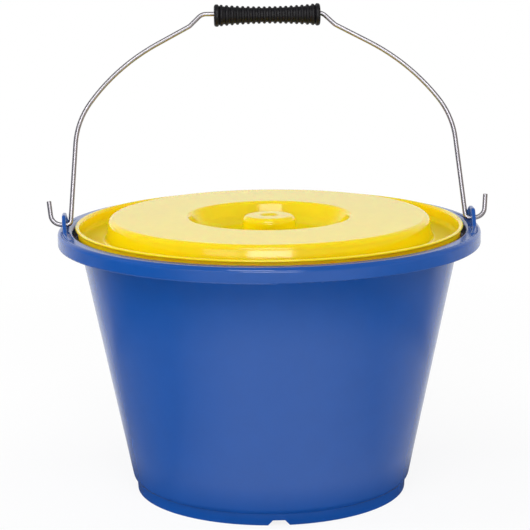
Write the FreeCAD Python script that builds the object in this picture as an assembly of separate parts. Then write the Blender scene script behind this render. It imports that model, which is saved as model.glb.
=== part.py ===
import FreeCAD, Part
import math
import os

os.makedirs("parts", exist_ok=True)

# A round bucket with a drop-in lid and a wire bail, in millimetres.
# The origin is the middle of the foot's underside and +Z is up.
# The ears stand on the X axis, and the bail leans back towards +Y.

# Bucket sizes
rim_diameter = 360.0          # across the outside of the turned-over rim
rim_height = 228.5            # top of the rim above the ground
rim_width = 13.0              # from the mouth's inner face to the rim's outer face
skirt_height = 12.7           # how far the rim hangs down outside
base_diameter = 239.0         # across the bottom of the conical wall
bucket_wall = 2.4             # even moulded thickness
seat_depth = 10.5             # the lid's seat below the top of the rim
seat_width = 8.0              # the seat's reach in from the mouth
mouth_draft = 0.5             # the mouth narrows by this much down to the seat
base_bend = 3.8               # a moulded wall's bends are measured inside the turn
shoulder_bend = 0.3
seat_bend = 0.6
mouth_bend = 0.7
rim_bend = 1.2                # small enough to leave the ears on the flat of the rim

# Foot sizes
foot_height = 9.0
foot_inset = 2.5              # the foot ring stands this far inside the base
foot_wall = 2.6
foot_draft = 0.5
foot_root = 1.0               # how far the foot ring runs up into the floor
notch_count = 4
notch_width = 18.0            # across the open side of a notch
notch_top_width = 10.0
notch_height = 4.3

# Ear sizes
ear_inset = 5.6               # middle of the ear, in from the rim's outer face
ear_thickness = 3.4
ear_rise = 13.4               # top of the ear above the rim
ear_top_width = 15.0
ear_foot_width = 52.0         # where the ear's flanks meet its low rib
ear_rib_width = 100.0
ear_rib_height = 1.3
ear_rib_end = 0.3             # what is left of the rib's height at its ends
ear_root = 1.0                # how far the ear runs down into the rim
ear_top_bend = 6.5
ear_foot_bend = 8.0
ear_edge_round = 1.2
pivot_rise = 4.1              # middle of the ear's hole above the rim
pivot_clearance = 0.1         # around the wire in the hole

# Lid sizes
lid_wall = 2.0
lip_gap = 1.8                 # between the lip's edge and the mouth
lip_rise = 3.3                # top of the lip above the rim
lip_overhang = 2.0            # the lip beyond the lid's outer wall
lip_draft = 0.6
plateau_height = 20.0         # top of the plateau above the seat
plateau_inset = 28.6          # the plateau's top edge, in from the lip's edge
plateau_draft = 2.9           # the plateau's wall slopes out by this much
recess_diameter = 141.0       # across the recess's mouth
recess_slope = 8.5            # the recess's wall slopes in by this much
knob_diameter = 44.8
knob_draft = 0.8
dimple_diameter = 17.0
dimple_slope = 3.0
dimple_depth = 1.2
lid_foot_width = 3.2          # low ring under the lid that lies on the seat
lid_foot_inset = 0.6          # in from the lid's outer wall
lid_foot_height = 2.6
lip_bend = 0.4
trough_bend = 4.0
plateau_foot_bend = 3.0
plateau_bend = 3.0
recess_bend = 2.0
bowl_bend = 13.0
knob_foot_bend = 1.6
knob_bend = 2.8
dimple_bend = 1.6

# Bail sizes
wire_diameter = 4.0
bail_lean = 28.0              # degrees back from upright, as it stands
hook_gap = 0.3                # straight wire beyond each face of the ear
leg_bend = 3.6                # bend between the ear and the leg, along the wire's middle
leg_slope = 3.6               # degrees that the leg leans in
leg_length = 69.5
shoulder_radius = 74.5        # lower, tighter part of the shoulder
shoulder_turn = 31.0
arch_turn = 25.6              # upper, flatter part, bent to the rim's radius
step_bend = 9.0               # the two bends beside the grip
step_slope = 46.0
step_run = 10.7
hook_bend = 9.5
hook_turn = 83.0
hook_run = 12.5

# Grip sizes
grip_length = 93.6
grip_room = 2.5               # straight wire left beyond each end of a centred grip
rib_count = 18
rib_pitch = 4.75
rib_width = 3.1
rib_height = 1.4
grip_end_diameter = 20.3      # over the ribs at the ends
grip_waist_diameter = 15.3    # over the ribs in the middle
collar_diameter = 19.7
collar_round = 2.1
grip_play = 1.5               # the grip hangs this far below the wire
grip_clearance = 0.1
grip_shift = 4.4              # the grip has slid onto the start of one bend

# Sizes worked out from those above
rim_radius = rim_diameter / 2
mouth_radius = rim_radius - rim_width
seat_height = rim_height - seat_depth
ear_radius = rim_radius - ear_inset
pivot_height = rim_height + pivot_rise
wire_radius = wire_diameter / 2
up = FreeCAD.Vector(0, 0, 1)
along_ears = FreeCAD.Vector(1, 0, 0)
centre = FreeCAD.Vector(0, 0, 0)


# Every outline is a list of corners (across, height, bend radius).
# The functions below turn such a list into lines and arcs.

def direction(a, b):
    length = math.hypot(b[0] - a[0], b[1] - a[1])
    return ((b[0] - a[0]) / length, (b[1] - a[1]) / length)


def shifted(corners, distance):
    # The same outline moved to its left by a distance, bends kept concentric.
    moved = []
    for i, (across, height, bend) in enumerate(corners):
        before = direction(corners[max(i - 1, 0)], corners[max(i, 1)])
        after = direction(corners[min(i, len(corners) - 2)], corners[min(i + 1, len(corners) - 1)])
        share = distance / (1 + before[0] * after[0] + before[1] * after[1])
        turn = before[0] * after[1] - before[1] * after[0]
        moved.append((
            across - share * (before[1] + after[1]),
            height + share * (before[0] + after[0]),
            bend - math.copysign(distance, turn * distance) if bend > 0 else 0,
        ))
    return moved


def outline_edges(corners, place):
    # Lines between the corners, with an arc at each corner that has a bend.
    edges = []
    last = corners[0][:2]
    for i in range(1, len(corners)):
        across, height, bend = corners[i]
        if i == len(corners) - 1 or bend <= 0:
            edges.append(Part.LineSegment(place(*last), place(across, height)).toShape())
            last = (across, height)
            continue
        before = direction(corners[i - 1], corners[i])
        after = direction(corners[i], corners[i + 1])
        cosine = before[0] * after[0] + before[1] * after[1]
        half_turn = math.acos(max(-1.0, min(1.0, cosine))) / 2
        tangent = bend * math.tan(half_turn)
        into = (across - before[0] * tangent, height - before[1] * tangent)
        out = (across + after[0] * tangent, height + after[1] * tangent)
        inward = (after[0] - before[0], after[1] - before[1])
        inward_length = math.hypot(*inward)
        depth = bend / math.cos(half_turn) - bend
        middle = (across + inward[0] / inward_length * depth, height + inward[1] / inward_length * depth)
        edges.append(Part.LineSegment(place(*last), place(*into)).toShape())
        edges.append(Part.Arc(place(*into), place(*middle), place(*out)).toShape())
        last = out
    return edges


def in_section(across, height):
    # Half section through the object's middle.
    return FreeCAD.Vector(across, 0, height)


def moulded_shell(corners, thickness):
    # An even wall around the middle line, turned about Z, with a round free edge.
    half = thickness / 2
    middle_line = [(across, height, bend + half if bend else 0) for across, height, bend in corners]
    left = shifted(middle_line, half)
    right = shifted(middle_line, -half)
    last_way = direction(corners[-2], corners[-1])
    tip = (corners[-1][0] + last_way[0] * half, corners[-1][1] + last_way[1] * half)
    left_end = in_section(*left[-1][:2])
    right_end = in_section(*right[-1][:2])
    edges = outline_edges(left, in_section)
    edges.append(Part.Arc(left_end, in_section(*tip), right_end).toShape())
    edges += outline_edges(right[::-1], in_section)
    edges.append(Part.LineSegment(in_section(*right[0][:2]), in_section(*left[0][:2])).toShape())
    section = Part.Face(Part.Wire(Part.__sortEdges__(edges)))
    return section.revolve(centre, up, 360)


def ring_between(inner, outer, low, high):
    tall = high - low
    foot = FreeCAD.Vector(0, 0, low)
    return Part.makeCylinder(outer, tall, foot).cut(Part.makeCylinder(inner, tall, foot))


# Bucket shell: floor, conical wall, seat, mouth, rim and skirt in one even wall.
half_wall = bucket_wall / 2
seat_middle = seat_height - half_wall
shell_line = [
    (0, foot_height + half_wall, 0),
    (base_diameter / 2 - half_wall, foot_height + half_wall, base_bend),
    (mouth_radius - seat_width + half_wall, seat_middle, shoulder_bend),
    (mouth_radius + half_wall - mouth_draft, seat_middle, seat_bend),
    (mouth_radius + half_wall, rim_height - half_wall, mouth_bend),
    (rim_radius - half_wall, rim_height - half_wall, rim_bend),
    (rim_radius - half_wall, rim_height - skirt_height + half_wall, 0),
]
bucket = moulded_shell(shell_line, bucket_wall)

# Foot ring under the floor.
foot_radius = base_diameter / 2 - foot_inset
foot_outline = [
    (foot_radius - foot_draft, 0, 0),
    (foot_radius, foot_height + foot_root, 0),
    (foot_radius - foot_wall, foot_height + foot_root, 0),
    (foot_radius - foot_wall, 0, 0),
    (foot_radius - foot_draft, 0, 0),
]
foot_section = Part.Face(Part.Wire(outline_edges(foot_outline, in_section)))
bucket = bucket.fuse(foot_section.revolve(centre, up, 360))

# Drain notches through the foot ring, the first one at the front.
notch_outline = [
    (-notch_width / 2, 0, 0),
    (-notch_top_width / 2, notch_height, 0),
    (notch_top_width / 2, notch_height, 0),
    (notch_width / 2, 0, 0),
    (-notch_width / 2, 0, 0),
]


def at_front(across, height):
    return FreeCAD.Vector(across, -foot_radius - foot_wall, height)


notch_face = Part.Face(Part.Wire(outline_edges(notch_outline, at_front)))
notch = notch_face.extrude(FreeCAD.Vector(0, 3 * foot_wall, 0))
for i in range(notch_count):
    turned = notch.copy()
    turned.rotate(centre, up, i * 360 / notch_count)
    bucket = bucket.cut(turned)

# Ears: upright tabs that follow the rim's circle, with low ribs running out along it.
ear_outline = [
    (-ear_rib_width / 2, rim_height - ear_root, 0),
    (-ear_rib_width / 2, rim_height + ear_rib_end, 0),
    (-ear_foot_width / 2, rim_height + ear_rib_height, ear_foot_bend),
    (-ear_top_width / 2, rim_height + ear_rise, ear_top_bend),
    (ear_top_width / 2, rim_height + ear_rise, ear_top_bend),
    (ear_foot_width / 2, rim_height + ear_rib_height, ear_foot_bend),
    (ear_rib_width / 2, rim_height + ear_rib_end, 0),
    (ear_rib_width / 2, rim_height - ear_root, 0),
    (-ear_rib_width / 2, rim_height - ear_root, 0),
]


def at_axis(across, height):
    return FreeCAD.Vector(0, across, height)


ear_face = Part.Face(Part.Wire(outline_edges(ear_outline, at_axis)))
ear_ring = ring_between(
    ear_radius - ear_thickness / 2,
    ear_radius + ear_thickness / 2,
    rim_height - ear_root,
    rim_height + 2 * ear_rise,
)
pivot_hole = Part.makeCylinder(
    wire_radius + pivot_clearance,
    2 * rim_radius,
    FreeCAD.Vector(-rim_radius, 0, pivot_height),
    along_ears,
)
for side in (-1, 1):
    ear = ear_face.extrude(along_ears * (side * rim_radius)).common(ear_ring)
    top_edges = [
        edge for edge in ear.Edges
        if edge.BoundBox.ZMin > rim_height + ear_rise - ear_edge_round
        and edge.BoundBox.YLength > ear_edge_round
    ]
    ear = ear.makeFillet(ear_edge_round, top_edges)
    bucket = bucket.fuse(ear)
bucket = bucket.cut(pivot_hole).removeSplitter()

# Lid: knob, recess, plateau, trough and lip in one even wall, resting on the seat.
half_lid = lid_wall / 2
trough_middle = seat_height + half_lid
plateau_middle = seat_height + plateau_height - half_lid
lip_radius = mouth_radius - lip_gap
lip_middle = rim_height + lip_rise - half_lid
lid_side = lip_radius - lip_overhang - half_lid
knob_radius = knob_diameter / 2
recess_radius = recess_diameter / 2
plateau_radius = lip_radius - plateau_inset
lid_line = [
    (0, plateau_middle - dimple_depth, 0),
    (dimple_diameter / 2 - dimple_slope, plateau_middle - dimple_depth, dimple_bend),
    (dimple_diameter / 2, plateau_middle, dimple_bend),
    (knob_radius - half_lid, plateau_middle, knob_bend),
    (knob_radius - half_lid + knob_draft, trough_middle, knob_foot_bend),
    (recess_radius - half_lid - recess_slope, trough_middle, bowl_bend),
    (recess_radius - half_lid, plateau_middle, recess_bend),
    (plateau_radius - half_lid, plateau_middle, plateau_bend),
    (plateau_radius - half_lid + plateau_draft, trough_middle, plateau_foot_bend),
    (lid_side - lip_draft, trough_middle, trough_bend),
    (lid_side, lip_middle, lip_bend),
    (lip_radius - half_lid, lip_middle, 0),
]
lid_foot_radius = lip_radius - lip_overhang - lid_foot_inset
lid_foot = ring_between(
    lid_foot_radius - lid_foot_width,
    lid_foot_radius,
    seat_height,
    seat_height + lid_foot_height,
)
lid = moulded_shell(lid_line, lid_wall).fuse(lid_foot).removeSplitter()

# Bail wire: straight runs and bends in one plane, the same on both sides.
lean = math.radians(bail_lean)


def on_bail(across, height):
    # A point of the bail's plane, which turns about the ears' holes.
    return FreeCAD.Vector(across, height * math.sin(lean), pivot_height + height * math.cos(lean))


across_bail = on_bail(0, 1).sub(on_bail(0, 0)).cross(along_ears)


def wire_run(side, start, heading, steps):
    # Solids for a list of (straight length, bend radius, bend angle), and the height at the end.
    solids = []
    across, height = start
    for length, bend, turn in steps:
        way = math.radians(heading)
        tangent = on_bail(side * math.cos(way), math.sin(way)).sub(on_bail(0, 0))
        disc = Part.Face(Part.Wire(Part.makeCircle(wire_radius, on_bail(side * across, height), tangent)))
        if length:
            solids.append(disc.extrude(tangent * length))
        across += length * math.cos(way)
        height += length * math.sin(way)
        if turn:
            left = math.radians(heading + math.copysign(90, turn))
            middle_across = across + bend * math.cos(left)
            middle_height = height + bend * math.sin(left)
            disc = Part.Face(Part.Wire(Part.makeCircle(wire_radius, on_bail(side * across, height), tangent)))
            solids.append(disc.revolve(on_bail(side * middle_across, middle_height), across_bail, -side * turn))
            heading += turn
            leaving = math.radians(heading + math.copysign(90, turn))
            across = middle_across - bend * math.cos(leaving)
            height = middle_height - bend * math.sin(leaving)
    return solids, height


def travel(heading, steps):
    # How far across such a list takes the wire.
    across = 0
    for length, bend, turn in steps:
        way = math.radians(heading)
        leaving = math.radians(heading + turn)
        across += length * math.cos(way) + math.copysign(bend, turn) * (math.sin(leaving) - math.sin(way))
        heading += turn
    return across


ear_run = ear_thickness / 2 + hook_gap
leg_heading = 90 + leg_slope
arch_heading = leg_heading + shoulder_turn + arch_turn


def leg_steps(arch_run):
    # From the ear to the top run, with a straight piece after the arch.
    return [
        (ear_run, leg_bend, leg_heading - 180),
        (leg_length, shoulder_radius, shoulder_turn),
        (0, rim_radius, arch_turn),
        (arch_run, step_bend, 180 - step_slope - arch_heading),
        (step_run, step_bend, step_slope),
    ]


# The straight piece takes up what is left between the ears and the grip.
top_across = grip_length / 2 + grip_room
spare_across = ear_radius + travel(180, leg_steps(0)) - top_across
arch_run = -spare_across / math.cos(math.radians(arch_heading))
hook_steps = [
    (ear_run, hook_bend, hook_turn),
    (hook_run, 0, 0),
]
wire_pieces = []
for side in (-1, 1):
    leg, top_height = wire_run(side, (ear_radius, 0), 180, leg_steps(arch_run))
    hook = wire_run(side, (ear_radius, 0), 0, hook_steps)[0]
    top = Part.Face(Part.Wire(Part.makeCircle(wire_radius, on_bail(side * top_across, top_height), along_ears)))
    wire_pieces += leg + hook + [top.extrude(along_ears * (-side * top_across))]
bail_wire = wire_pieces[0].fuse(wire_pieces[1:]).removeSplitter()

# Grip: a ribbed sleeve, waisted in the middle, hanging on the wire's top run.
grip_bore = wire_radius + grip_play + grip_clearance
grip_end = grip_length / 2
first_rib = -(rib_count - 1) / 2 * rib_pitch


def over_ribs(along):
    waist = grip_waist_diameter / 2
    return waist + (grip_end_diameter / 2 - waist) * (along / grip_end) ** 2


def on_grip(along, out):
    return FreeCAD.Vector(along, 0, out)


collar_radius = collar_diameter / 2
collar_end = -first_rib + rib_width / 2
collar_foot = over_ribs(first_rib) - rib_height
left_end = outline_edges([
    (-grip_end, grip_bore, 0),
    (-grip_end, collar_radius, collar_round),
    (-collar_end - rib_width / 2, collar_radius, 0),
    (-collar_end, collar_foot, 0),
], on_grip)
right_end = outline_edges([
    (collar_end, collar_foot, 0),
    (collar_end + rib_width / 2, collar_radius, 0),
    (grip_end, collar_radius, collar_round),
    (grip_end, grip_bore, 0),
], on_grip)
rib_edges = []
last_point = on_grip(-collar_end, collar_foot)
for i in range(rib_count):
    middle = first_rib + i * rib_pitch
    foot = over_ribs(middle) - rib_height
    start = on_grip(middle - rib_width / 2, foot)
    end = on_grip(middle + rib_width / 2, foot)
    if last_point.distanceToPoint(start) > grip_clearance:
        rib_edges.append(Part.LineSegment(last_point, start).toShape())
    rib_edges.append(Part.Arc(start, on_grip(middle, foot + rib_height), end).toShape())
    last_point = end
bore_edge = Part.LineSegment(on_grip(grip_end, grip_bore), on_grip(-grip_end, grip_bore)).toShape()
grip_section = Part.Face(Part.Wire(left_end + rib_edges + right_end + [bore_edge]))
grip = grip_section.revolve(centre, along_ears, 360)
grip.translate(on_bail(grip_shift, top_height - grip_play))

for name, shape in (("bucket", bucket), ("lid", lid), ("bail_wire", bail_wire), ("grip", grip)):
    shape.exportStep("parts/" + name + ".step")
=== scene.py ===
import math

import bpy
from mathutils import Matrix, Vector

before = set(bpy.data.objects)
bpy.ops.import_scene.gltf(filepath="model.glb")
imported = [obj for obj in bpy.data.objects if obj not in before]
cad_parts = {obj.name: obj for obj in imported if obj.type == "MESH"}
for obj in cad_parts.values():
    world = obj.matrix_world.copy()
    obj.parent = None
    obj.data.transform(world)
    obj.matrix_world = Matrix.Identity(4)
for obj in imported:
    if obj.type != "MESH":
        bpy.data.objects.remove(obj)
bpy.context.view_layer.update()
bpy.ops.object.select_all(action="DESELECT")

# Bucket: conical pail with a turned-over rim, two ears and a notched foot ring.
# Polypropylene, injection moulded in one shot and coloured right through.
# A polished mould leaves it glossy, with a faint ripple like orange peel.
BLUE_DEEP = "#0A458F"
BLUE_LIGHT = "#0C4A99"
BLUE_CLOUD_MM = 22.0          # soft clouds of pigment
BLUE_SMEAR_MM = 9.0           # patches of higher and lower gloss
BLUE_ROUGHNESS = (0.12, 0.2)
BLUE_PEEL_MM = 2.4            # ripples of the moulded skin
BLUE_PEEL_DEPTH_MM = 0.01
POLYPROPYLENE_IOR = 1.49
NOISE_SPAN = (0.3, 0.7)       # where nearly all values of a noise lie


def linear(colour):
    # An sRGB hex colour as the linear values that a shader takes.
    channels = [int(colour[i:i + 2], 16) / 255 for i in (1, 3, 5)]
    return [c / 12.92 if c <= 0.04045 else ((c + 0.055) / 1.055) ** 2.4 for c in channels] + [1]


def scale_for(millimetres):
    # The texture scale whose features are about this wide.
    return 1000 / millimetres


def emptied_tree(owner):
    # The node tree of a material or a world, without the nodes that it comes with.
    owner.use_nodes = True
    owner.node_tree.nodes.clear()
    return owner.node_tree


def add_node(tree, kind, inputs=(), **settings):
    # One node with its settings and links. Inputs go by name, or in the order of the sockets.
    # Each is a plain value, another node's output, or a node, which stands for its first output.
    node = tree.nodes.new(kind)
    for name, value in settings.items():
        setattr(node, name, value)
    by_socket = inputs if isinstance(inputs, dict) else dict(enumerate(inputs))
    for socket, value in by_socket.items():
        if isinstance(value, bpy.types.Node):
            value = value.outputs[0]
        if isinstance(value, bpy.types.NodeSocket):
            tree.links.new(value, node.inputs[socket])
        else:
            node.inputs[socket].default_value = value
    return node


def dress(node_name, material):
    # A CAD node keeps its mesh and wears one material all over.
    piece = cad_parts[node_name]
    piece.data.materials.clear()
    piece.data.materials.append(material)
    shading = piece.modifiers.new("flat_faces_stay_flat", "WEIGHTED_NORMAL")
    shading.keep_sharp = True


blue_plastic = bpy.data.materials.new("blue_polypropylene")
tree = emptied_tree(blue_plastic)
place = add_node(tree, "ShaderNodeTexCoord").outputs["Object"]
cloud = add_node(tree, "ShaderNodeTexNoise", {
    "Vector": place, "Scale": scale_for(BLUE_CLOUD_MM), "Detail": 5.0, "Roughness": 0.65})
colour = add_node(tree, "ShaderNodeMixRGB", [cloud, linear(BLUE_DEEP), linear(BLUE_LIGHT)])
smear = add_node(tree, "ShaderNodeTexNoise", {
    "Vector": place, "Scale": scale_for(BLUE_SMEAR_MM), "Detail": 3.0, "Roughness": 0.6})
gloss = add_node(tree, "ShaderNodeMapRange", [smear, *NOISE_SPAN, *BLUE_ROUGHNESS])
peel = add_node(tree, "ShaderNodeTexNoise", {
    "Vector": place, "Scale": scale_for(BLUE_PEEL_MM), "Detail": 2.0, "Roughness": 0.5})
ripple = add_node(tree, "ShaderNodeBump", {
    "Height": peel, "Distance": BLUE_PEEL_DEPTH_MM / 1000, "Strength": 1.0})
skin = add_node(tree, "ShaderNodeBsdfPrincipled", {
    "Base Color": colour, "Roughness": gloss, "IOR": POLYPROPYLENE_IOR, "Normal": ripple})
add_node(tree, "ShaderNodeOutputMaterial", {"Surface": skin})
dress("bucket", blue_plastic)

# Lid: drops into the mouth and lies on the seat, with a knob in a round recess.
# Polypropylene too, moulded in one even wall and pigmented yellow.
# It is glossy with a fine grain, and satin down in the trough inside its lip.
YELLOW_DEEP = "#E8C909"
YELLOW_LIGHT = "#EDD00E"
YELLOW_CLOUD_MM = 18.0
YELLOW_SMEAR_MM = 7.0
YELLOW_ROUGHNESS = (0.11, 0.17)
YELLOW_GRAIN_MM = 1.1         # the mould's grain, drawn coarser than it is so that it shows
YELLOW_GRAIN_DEPTH_MM = 0.006
YELLOW_SHINE = 0.5
YELLOW_SOAK_SHARE = 0.7       # how much of the light soaks into the plastic
YELLOW_SOAK_MM = 5.0          # how deep it goes
YELLOW_SOAK = (1.0, 0.5, 0.05)   # shares of that depth for red, green and blue
TROUGH_START = (0.1395, 0.1425)  # metres from the middle, where the trough begins
TROUGH_TOP = (0.2285, 0.2305)    # metres above the ground, where the lip begins
TROUGH_ROUGHNESS = 0.5
TROUGH_SHINE = 0.12

yellow_plastic = bpy.data.materials.new("yellow_polypropylene")
tree = emptied_tree(yellow_plastic)
place = add_node(tree, "ShaderNodeTexCoord").outputs["Object"]
cloud = add_node(tree, "ShaderNodeTexNoise", {
    "Vector": place, "Scale": scale_for(YELLOW_CLOUD_MM), "Detail": 5.0, "Roughness": 0.65})
colour = add_node(tree, "ShaderNodeMixRGB", [cloud, linear(YELLOW_DEEP), linear(YELLOW_LIGHT)])
smear = add_node(tree, "ShaderNodeTexNoise", {
    "Vector": place, "Scale": scale_for(YELLOW_SMEAR_MM), "Detail": 3.0, "Roughness": 0.6})
gloss = add_node(tree, "ShaderNodeMapRange", [smear, *NOISE_SPAN, *YELLOW_ROUGHNESS])
grain = add_node(tree, "ShaderNodeTexNoise", {
    "Vector": place, "Scale": scale_for(YELLOW_GRAIN_MM), "Detail": 2.0, "Roughness": 0.6})
bumps = add_node(tree, "ShaderNodeBump", {
    "Height": grain, "Distance": YELLOW_GRAIN_DEPTH_MM / 1000, "Strength": 1.0})
height = add_node(tree, "ShaderNodeSeparateXYZ", [place]).outputs["Z"]
level = add_node(tree, "ShaderNodeVectorMath", [place, (1, 1, 0)], operation="MULTIPLY")
reach = add_node(tree, "ShaderNodeVectorMath", [level], operation="LENGTH").outputs["Value"]
outside = add_node(tree, "ShaderNodeMapRange", [reach, *TROUGH_START, 0, 1])
below = add_node(tree, "ShaderNodeMapRange", [height, *TROUGH_TOP, 1, 0])
trough = add_node(tree, "ShaderNodeMath", [outside, below], operation="MULTIPLY")
satin = add_node(tree, "ShaderNodeMapRange", [trough, 0, 1, gloss, TROUGH_ROUGHNESS])
shine = add_node(tree, "ShaderNodeMapRange", [trough, 0, 1, YELLOW_SHINE, TROUGH_SHINE])
skin = add_node(tree, "ShaderNodeBsdfPrincipled", {
    "Base Color": colour, "Roughness": satin, "Specular IOR Level": shine,
    "IOR": POLYPROPYLENE_IOR, "Normal": bumps,
    "Subsurface Weight": YELLOW_SOAK_SHARE, "Subsurface Radius": YELLOW_SOAK,
    "Subsurface Scale": YELLOW_SOAK_MM / 1000})
add_node(tree, "ShaderNodeOutputMaterial", {"Surface": skin})
dress("lid", yellow_plastic)

# Bail: one length of round wire, bent cold and hooked through both ears.
# Drawn low-carbon steel with a bright zinc coat.
# The coat is a soft mirror, with faint duller patches of zinc.
ZINC_BRIGHT = "#B4B1B6"
ZINC_DULL = "#A8A5AA"
ZINC_PATCH_MM = 14.0
ZINC_SCUFF_MM = 20.0
ZINC_ROUGHNESS = (0.36, 0.42)

zinc_wire = bpy.data.materials.new("zinc_coated_steel_wire")
tree = emptied_tree(zinc_wire)
place = add_node(tree, "ShaderNodeTexCoord").outputs["Object"]
patch = add_node(tree, "ShaderNodeTexNoise", {
    "Vector": place, "Scale": scale_for(ZINC_PATCH_MM), "Detail": 3.0, "Roughness": 0.6})
colour = add_node(tree, "ShaderNodeMixRGB", [patch, linear(ZINC_DULL), linear(ZINC_BRIGHT)])
scuff = add_node(tree, "ShaderNodeTexNoise", {
    "Vector": place, "Scale": scale_for(ZINC_SCUFF_MM), "Detail": 2.0, "Roughness": 0.5})
gloss = add_node(tree, "ShaderNodeMapRange", [scuff, *NOISE_SPAN, *ZINC_ROUGHNESS])
skin = add_node(tree, "ShaderNodeBsdfPrincipled", {
    "Base Color": colour, "Metallic": 1.0, "Roughness": gloss})
add_node(tree, "ShaderNodeOutputMaterial", {"Surface": skin})
dress("bail_wire", zinc_wire)

# Grip: a ribbed sleeve, loose on the wire's straight top run.
# Soft black polyethylene, moulded with eighteen round ribs and two end collars.
# It is satin, with slightly paler rubbed patches.
BLACK_DEEP = "#100F12"
BLACK_RUBBED = "#1A191D"
BLACK_CLOUD_MM = 5.0
BLACK_ROUGHNESS = (0.36, 0.5)
BLACK_GRAIN_MM = 0.7
BLACK_GRAIN_DEPTH_MM = 0.02
BLACK_SHINE = 0.22
POLYETHYLENE_IOR = 1.5

black_plastic = bpy.data.materials.new("black_polyethylene")
tree = emptied_tree(black_plastic)
place = add_node(tree, "ShaderNodeTexCoord").outputs["Object"]
cloud = add_node(tree, "ShaderNodeTexNoise", {
    "Vector": place, "Scale": scale_for(BLACK_CLOUD_MM), "Detail": 4.0, "Roughness": 0.6})
colour = add_node(tree, "ShaderNodeMixRGB", [cloud, linear(BLACK_DEEP), linear(BLACK_RUBBED)])
gloss = add_node(tree, "ShaderNodeMapRange", [cloud, *NOISE_SPAN, *BLACK_ROUGHNESS])
grain = add_node(tree, "ShaderNodeTexNoise", {
    "Vector": place, "Scale": scale_for(BLACK_GRAIN_MM), "Detail": 2.0, "Roughness": 0.5})
bumps = add_node(tree, "ShaderNodeBump", {
    "Height": grain, "Distance": BLACK_GRAIN_DEPTH_MM / 1000, "Strength": 1.0})
skin = add_node(tree, "ShaderNodeBsdfPrincipled", {
    "Base Color": colour, "Roughness": gloss, "IOR": POLYETHYLENE_IOR,
    "Specular IOR Level": BLACK_SHINE, "Normal": bumps})
add_node(tree, "ShaderNodeOutputMaterial", {"Surface": skin})
dress("grip", black_plastic)

# Floor: a wide sheet of white paper that the bucket stands on.
# It is matt, stays white to the eye and keeps a soft shadow near the bucket.
# The plastic mirrors it as a painted glow: a painted pool of light in front and at the back, dimmer at the
# sides, and painted shade at the foot.
FLOOR_WIDTH = 24.0
PAPER_WHITE = "#F4F4F4"
SHADOW_SPAN = (0.35, 0.9)     # metres from the middle over which the shadow fades away
PAPER_GLOW = 0.86             # share of plain white mixed in near the bucket
MIRROR_FRONT = 1.2            # painted brightness of the paper as the plastic mirrors it, by direction
MIRROR_LEFT = 0.36
MIRROR_RIGHT = 0.62
MIRROR_BACK = 0.9
MIRROR_FAR = 1.05
MIRROR_DARK = 0.08
SIDE_SPAN = (-0.6, 0.6)       # where one brightness turns into the next, as parts of a direction
BACK_SPAN = (0.4, 0.8)
FRONT_SPAN = (-0.5, -0.95)
LIT_REACH = (0.465, 0.37)     # soft edge of the painted pool of light, in metres from the middle
LIT_BACK = (0.0, 0.25)        # it runs on towards the back, along Y
LIT_RIGHT = (0.35, 0.5)       # and less brightly to the right, along X
LIT_RIGHT_SHARE = 0.5
LIT_FAR = (-0.75, -1.0)       # the painted light is bright again on the floor far in front
PAINTED_FOOT_SHADE = (0.128, 0.165)   # painted shade: the dark line where the foot meets the paper

bpy.ops.mesh.primitive_plane_add(size=FLOOR_WIDTH)
floor = bpy.context.object
floor.name = "paper_floor"
white_paper = bpy.data.materials.new("white_paper")
tree = emptied_tree(white_paper)
place = add_node(tree, "ShaderNodeTexCoord").outputs["Object"]
reach = add_node(tree, "ShaderNodeVectorMath", [place], operation="LENGTH").outputs["Value"]
spot = add_node(tree, "ShaderNodeSeparateXYZ", [place]).outputs
way = add_node(tree, "ShaderNodeVectorMath", [place], operation="NORMALIZE")
part = add_node(tree, "ShaderNodeSeparateXYZ", [way]).outputs
ray = add_node(tree, "ShaderNodeLightPath").outputs
side = add_node(tree, "ShaderNodeMapRange", [part["X"], *SIDE_SPAN, MIRROR_LEFT, MIRROR_RIGHT])
behind = add_node(tree, "ShaderNodeMapRange", [part["Y"], *BACK_SPAN, side, MIRROR_BACK])
around = add_node(tree, "ShaderNodeMapRange", [part["Y"], *FRONT_SPAN, behind, MIRROR_FRONT])
beyond = add_node(tree, "ShaderNodeMapRange", [spot["Y"], *LIT_FAR, MIRROR_DARK, MIRROR_FAR])
lit_back = add_node(tree, "ShaderNodeMapRange", [spot["Y"], *LIT_BACK, 0, 1])
lit_right = add_node(tree, "ShaderNodeMapRange", [spot["X"], *LIT_RIGHT, 0, LIT_RIGHT_SHARE])
lit_near = add_node(tree, "ShaderNodeMapRange", [reach, *LIT_REACH, 0, 1])
lit_beside = add_node(tree, "ShaderNodeMath", [lit_back, lit_right], operation="MAXIMUM")
lit = add_node(tree, "ShaderNodeMath", [lit_near, lit_beside], operation="MAXIMUM")
# Painted light: the glow that glossy rays see on the paper, standing in for lit paper.
painted_light_pool = add_node(tree, "ShaderNodeMapRange", [lit, 0, 1, beyond, around])
# Painted shade: the mirrored paper goes dark where the foot meets it.
mirrored = add_node(tree, "ShaderNodeMapRange", [reach, *PAINTED_FOOT_SHADE, MIRROR_DARK, painted_light_pool])
plain = add_node(tree, "ShaderNodeMath", [
    ray["Is Camera Ray"], ray["Is Transmission Ray"]], operation="MAXIMUM")
strength = add_node(tree, "ShaderNodeMapRange", [plain, 0, 1, mirrored, 1.0])
glow = add_node(tree, "ShaderNodeMapRange", [reach, *SHADOW_SPAN, PAPER_GLOW, 1.0])
seen = add_node(tree, "ShaderNodeMath", [plain, glow], operation="MULTIPLY")
# Glossy rays see only the painted glow, never the paper's own shading.
share = add_node(tree, "ShaderNodeMath", [seen, ray["Is Glossy Ray"]], operation="MAXIMUM")
matt = add_node(tree, "ShaderNodeBsdfDiffuse", {"Color": linear(PAPER_WHITE)})
white = add_node(tree, "ShaderNodeEmission", {"Color": (1, 1, 1, 1), "Strength": strength})
paper = add_node(tree, "ShaderNodeMixShader", [share, matt, white])
add_node(tree, "ShaderNodeOutputMaterial", {"Surface": paper})
floor.data.materials.append(white_paper)

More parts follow.
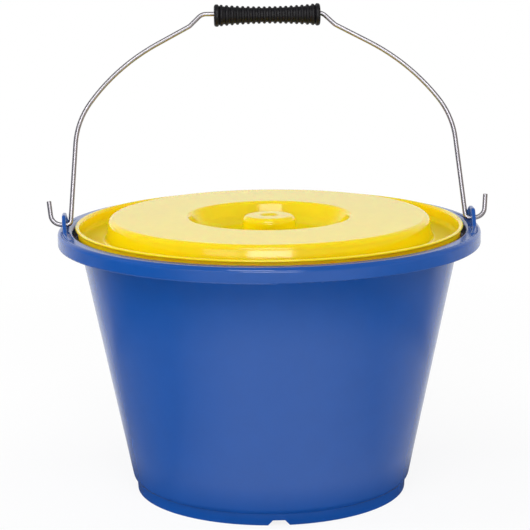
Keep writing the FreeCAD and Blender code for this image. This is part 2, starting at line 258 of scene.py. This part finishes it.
# Light: soft panels around the bucket in a pale room.
# Two front panels and a low left one show as highlights in the plastic, and the fills don't.
# Shiny pieces mirror a room that is white behind, grey in front, cool left and warm right.
LID_MIDDLE = Vector((0.0, 0.0, 0.23))
VIEW_TURN_DEGREES = 2.9       # the camera stands this far to the left of the front
ROOM_LIGHT = 0.3
ROOM_LEFT = "#73778A"         # what shiny pieces mirror near the horizon
ROOM_RIGHT = "#B9A998"
ROOM_FRONT = "#CACACA"
ROOM_BACK = "#FFFFFF"
ROOM_OVERHEAD = 0.35
ROOM_IN_GAPS = 0.2            # what is left of the room in a mirror image of a mirror image
RIGHT_SPAN = (-0.2, 0.6)      # where the room changes, as parts of a direction
AHEAD_SPAN = (-0.6, -0.9)
BEHIND_SPAN = (0.45, 0.8)
OVERHEAD_SPAN = (0.35, 0.6)
GAP_DEPTH = (2, 3)            # ray depth of the first and of the second mirror image


def soft_panel(name, turn, height, radiance, distance=1.9, width=1.0, length=0.35, mirrored=True):
    # A rectangular lamp facing the lid, given in degrees and metres and by its front's radiance.
    turn = math.radians(turn)
    height = math.radians(height)
    way = Vector((math.sin(turn) * math.cos(height), -math.cos(turn) * math.cos(height), math.sin(height)))
    bpy.ops.object.light_add(type="AREA", location=LID_MIDDLE + way * distance)
    lamp = bpy.context.object
    lamp.name = name
    lamp.rotation_euler = way.to_track_quat("Z", "Y").to_euler()
    lamp.data.shape = "RECTANGLE"
    lamp.data.size = width
    lamp.data.size_y = length
    lamp.data.energy = radiance * math.pi * width * length
    lamp.visible_camera = False
    lamp.visible_glossy = mirrored


soft_panel("front_low_panel", turn=-VIEW_TURN_DEGREES, height=8, radiance=8.0)
soft_panel("front_high_panel", turn=-VIEW_TURN_DEGREES - 3, height=45, radiance=5.5,
           distance=1.7, width=0.9, length=0.75)
soft_panel("left_low_panel", turn=-VIEW_TURN_DEGREES - 32, height=8, radiance=1.7, width=0.8)
soft_panel("left_fill", turn=-95, height=28, radiance=5.3, width=1.2, length=1.2, mirrored=False)
soft_panel("right_fill", turn=95, height=28, radiance=4.2, width=1.2, length=1.2, mirrored=False)

room = bpy.data.worlds.new("pale_room")
bpy.context.scene.world = room
tree = emptied_tree(room)
way = add_node(tree, "ShaderNodeTexCoord").outputs["Generated"]
part = add_node(tree, "ShaderNodeSeparateXYZ", [way]).outputs
ray = add_node(tree, "ShaderNodeLightPath").outputs
right = add_node(tree, "ShaderNodeMapRange", [part["X"], *RIGHT_SPAN, 0, 1])
ahead = add_node(tree, "ShaderNodeMapRange", [part["Y"], *AHEAD_SPAN, 0, 1])
behind = add_node(tree, "ShaderNodeMapRange", [part["Y"], *BEHIND_SPAN, 0, 1])
above = add_node(tree, "ShaderNodeMapRange", [part["Z"], *OVERHEAD_SPAN, 0, 1])
overhead = (ROOM_OVERHEAD, ROOM_OVERHEAD, ROOM_OVERHEAD, 1)
walls = add_node(tree, "ShaderNodeMixRGB", [right, linear(ROOM_LEFT), linear(ROOM_RIGHT)])
fronted = add_node(tree, "ShaderNodeMixRGB", [ahead, walls, linear(ROOM_FRONT)])
backed = add_node(tree, "ShaderNodeMixRGB", [behind, fronted, linear(ROOM_BACK)])
reflected = add_node(tree, "ShaderNodeMixRGB", [above, backed, overhead])
depth = add_node(tree, "ShaderNodeMapRange", [ray["Ray Depth"], *GAP_DEPTH, 1.0, ROOM_IN_GAPS])
plain = add_node(tree, "ShaderNodeMath", [
    ray["Is Camera Ray"], ray["Is Transmission Ray"]], operation="MAXIMUM")
lighting = add_node(tree, "ShaderNodeBackground", {"Color": (1, 1, 1, 1), "Strength": ROOM_LIGHT})
mirror = add_node(tree, "ShaderNodeBackground", {"Color": reflected, "Strength": depth})
backdrop = add_node(tree, "ShaderNodeBackground", {"Color": (1, 1, 1, 1), "Strength": 1.0})
inner = add_node(tree, "ShaderNodeMixShader", [ray["Is Glossy Ray"], lighting, mirror])
outer = add_node(tree, "ShaderNodeMixShader", [plain, inner, backdrop])
add_node(tree, "ShaderNodeOutputWorld", {"Surface": outer})

# Camera: a long lens well back from the bucket, above the rim and a little to the left.
# It looks down at the bucket and slightly to the right.
LENS_MM = 135.85
SENSOR_MM = 36.0
CAMERA_PLACE = Vector((-0.0889, -1.6791, 0.5401))
CAMERA_DOWN_DEGREES = 11.62
CAMERA_ROLL_DEGREES = -0.5

lens = bpy.data.cameras.new("photo_camera")
lens.lens = LENS_MM
lens.sensor_width = SENSOR_MM
lens.sensor_fit = "HORIZONTAL"
lens.clip_end = 100.0
camera = bpy.data.objects.new("photo_camera", lens)
bpy.context.scene.collection.objects.link(camera)
camera.matrix_world = (
    Matrix.Translation(CAMERA_PLACE)
    @ Matrix.Rotation(math.radians(-VIEW_TURN_DEGREES), 4, "Z")
    @ Matrix.Rotation(math.radians(90 - CAMERA_DOWN_DEGREES), 4, "X")
    @ Matrix.Rotation(math.radians(CAMERA_ROLL_DEGREES), 4, "Z")
)
bpy.context.scene.camera = camera
bpy.context.scene.view_settings.view_transform = "Standard"
